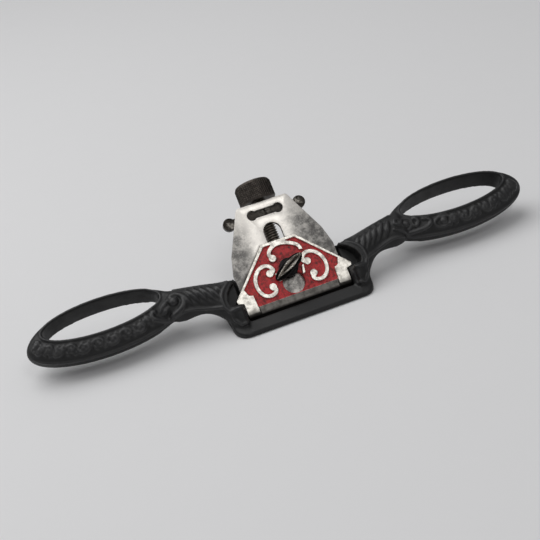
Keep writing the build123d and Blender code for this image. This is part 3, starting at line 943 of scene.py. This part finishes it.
def makeFeedScrew():
    bm = bmesh.new()
    radius, depth, pitch = feed["radius"], feed["threadDepth"], feed["pitch"]
    turns = round((feed["threadHigh"] - feed["threadLow"]) / pitch)
    rail = []
    for turn in range(turns):
        start = feed["threadLow"] + turn * pitch
        for share, sink in feed["thread"]:
            place = (radius - depth * sink, start + share * pitch, feed["c"])
            rail.append(bm.verts.new(Vector(place) * mm))
    edges = [bm.edges.new(pair) for pair in zip(rail, rail[1:])]
    bmesh.ops.spin(bm, geom=rail + edges, cent=(0, 0, feed["c"] * mm), axis=(0, 1, 0),
                   dvec=(0, pitch / feed["steps"] * mm, 0), angle=2 * math.pi, steps=feed["steps"],
                   use_merge=False, use_duplicate=False)
    bmesh.ops.remove_doubles(bm, verts=bm.verts, dist=0.01 * mm)
    bmesh.ops.holes_fill(bm, edges=[e for e in bm.edges if e.is_boundary], sides=0)
    bmesh.ops.triangulate(bm, faces=[f for f in bm.faces if len(f.verts) > 4])
    bmesh.ops.recalc_face_normals(bm, faces=bm.faces)
    groove, half, neckRadius = feed["grooveS"], feed["grooveHalf"], feed["grooveRadius"]
    low, high, chamfer = feed["low"], feed["high"], feed["chamfer"]
    shaft = bmesh.new()
    lathe(shaft, [(0, low), (radius - chamfer, low), (radius, low + chamfer), (radius, groove - half),
                  (neckRadius, groove - half), (neckRadius, groove + half), (radius, groove + half),
                  (radius, feed["threadLow"]), (radius - depth, feed["threadLow"] + feed["runOut"]),
                  (radius - depth, feed["threadHigh"]), (radius, feed["threadHigh"] + chamfer),
                  (radius, high), (0, high)], feed["c"], feed["steps"])
    carrier = bpy.data.meshes.new("screwShaft")
    shaft.to_mesh(carrier)
    shaft.free()
    bm.from_mesh(carrier)
    bpy.data.meshes.remove(carrier)
    piece = pieceFromBmesh(bm, "feedScrew")
    piece.data.transform(bedMatrix)
    smoothShade(piece, 40)
    return piece


def makeKnob():
    bm = bmesh.new()
    low, high, radius, edge = knob["low"], knob["high"], knob["radius"], knob["edge"]
    count, spokes = knob["knurlSteps"], knob["knurls"] * knob["knurlSteps"]
    rows = round((high - low - 2 * edge) / knob["rowPitch"]) * count
    first, last = low + edge, high - edge
    wallRadius = radius - knob["depth"]
    wall = [(wallRadius, first + (last - first) * i / rows) for i in range(rows + 1)]
    bore, recess, rollRadius = knob["bore"], low + knob["recess"], radius - edge - knob["roll"]
    lathe(bm, [(bore, low + knob["boreDepth"]), (bore, recess),
               (knob["recessRadius"] - knob["recessSlope"], recess), (knob["recessRadius"], low),
               (rollRadius, low), (radius - edge, low + knob["rollRise"]), *wall,
               (radius - edge, high - knob["rollRise"]), (rollRadius, high),
               (knob["dishOuter"], high), (knob["dishInner"], high - knob["dish"]),
               (0, high - knob["dish"])], feed["c"], spokes)
    # the knurling lifts crossed rows of points out of the plain wall
    axis = Vector((0, 0, feed["c"] * mm))
    near = 0.01
    for vert in bm.verts:
        s = vert.co.y / mm
        flat = Vector((vert.co.x, 0, vert.co.z)) - axis
        if first - near < s < last + near and flat.length > (wallRadius - near) * mm:
            spoke = round(math.atan2(flat.z, flat.x) / (2 * math.pi) * spokes)
            row = round((s - first) / (last - first) * rows)
            rising, falling = [((spoke + way * row) % count) / count for way in (1, -1)]
            peak = min(1 - abs(2 * rising - 1), 1 - abs(2 * falling - 1))
            edgeFade = min(1.0, row / 2, (rows - row) / 2)
            lift = knob["depth"] * min(1.0, peak / knob["flat"]) * edgeFade
            vert.co += flat.normalized() * lift * mm
    bmesh.ops.holes_fill(bm, edges=[e for e in bm.edges if e.is_boundary], sides=0)
    bmesh.ops.recalc_face_normals(bm, faces=bm.faces)
    piece = pieceFromBmesh(bm, "feedKnob")
    piece.data.transform(bedMatrix)
    smoothShade(piece, 25)
    return piece


steelWear = {"edge": 0.7, "hollow": (0.7, (0.012, 0.010, 0.009))}


def agedSteel(name, steel):
    # steel with rubbed edges, darker in its hollows
    paint, tree, shader = newMaterial(name, 1.0)
    blotch = placeGroup(tree, mottle, Scale=380.0, Low=0.38, High=0.64)
    wearAndHollowShade = placeGroup(tree, edgeWearAndHollowShade, From=0.515, To=0.58, Scale=800.0)
    fine = placeGroup(tree, grain, Scale=1500.0)
    base = mixColor(tree, blotch.outputs["Mask"], *steel["tones"])
    base = layOver(tree, base, wearAndHollowShade.outputs["Mask"], steelWear["edge"], steel["edge"])
    base = layOver(tree, base, wearAndHollowShade.outputs["Hollow"], *steelWear["hollow"])
    tree.links.new(base, shader.inputs["Base Color"])
    tree.links.new(between(tree, blotch.outputs["Mask"], *steel["rough"]), shader.inputs["Roughness"])
    bumpInto(tree, shader, fine.outputs["Height"], distance=0.05, strength=0.5)
    return paint


# crosshead and pin

crosshead = {
    "bevel": 0.35,
    "steel": {"tones": ((0.016, 0.014, 0.012), (0.040, 0.036, 0.032)), "edge": (0.28, 0.26, 0.23),
              "rough": (0.26, 0.38)},
}

pin = {
    "bevel": 0.15,
    "steel": {"tones": ((0.30, 0.29, 0.28), (0.42, 0.41, 0.39)), "edge": (0.55, 0.54, 0.52),
              "rough": (0.30, 0.42)},
}


# build

makeCamera()
makeStudio()
print("camera, lights and floor ready")

finishPiece(makeCasting(), "stock", japanBlack(), "body_casting", "body_casting")
finishPiece(makeCap(), "cap", capFinish(), "lever_cap", "lever_cap")
finishPiece(makeSoftened("cutter_iron", "cutterIron", cutter["bevel"]),
            "cutter", cutterSteel(), "cutter_iron", "cutter_iron")
finishPiece(makeCapScrew(), "wing", wingFinish(), "cap_screw", "cap_screw")
finishPiece(makeFeedScrew(), "feed", agedSteel("screwSteel", feed["steel"]), "feed_screw", "feed_screw")
finishPiece(makeKnob(), "feed", agedSteel("knobSteel", knob["steel"]), "feed_knob", "feed_knob")
finishPiece(makeSoftened("crosshead", "crossheadNut", crosshead["bevel"]),
            "cutter", agedSteel("crossheadSteel", crosshead["steel"]), "crosshead", "crosshead")
finishPiece(makeSoftened("retaining_pin", "retainingPin", pin["bevel"], 2),
            "stock", agedSteel("pinSteel", pin["steel"]), "retaining_pin", "retaining_pin")
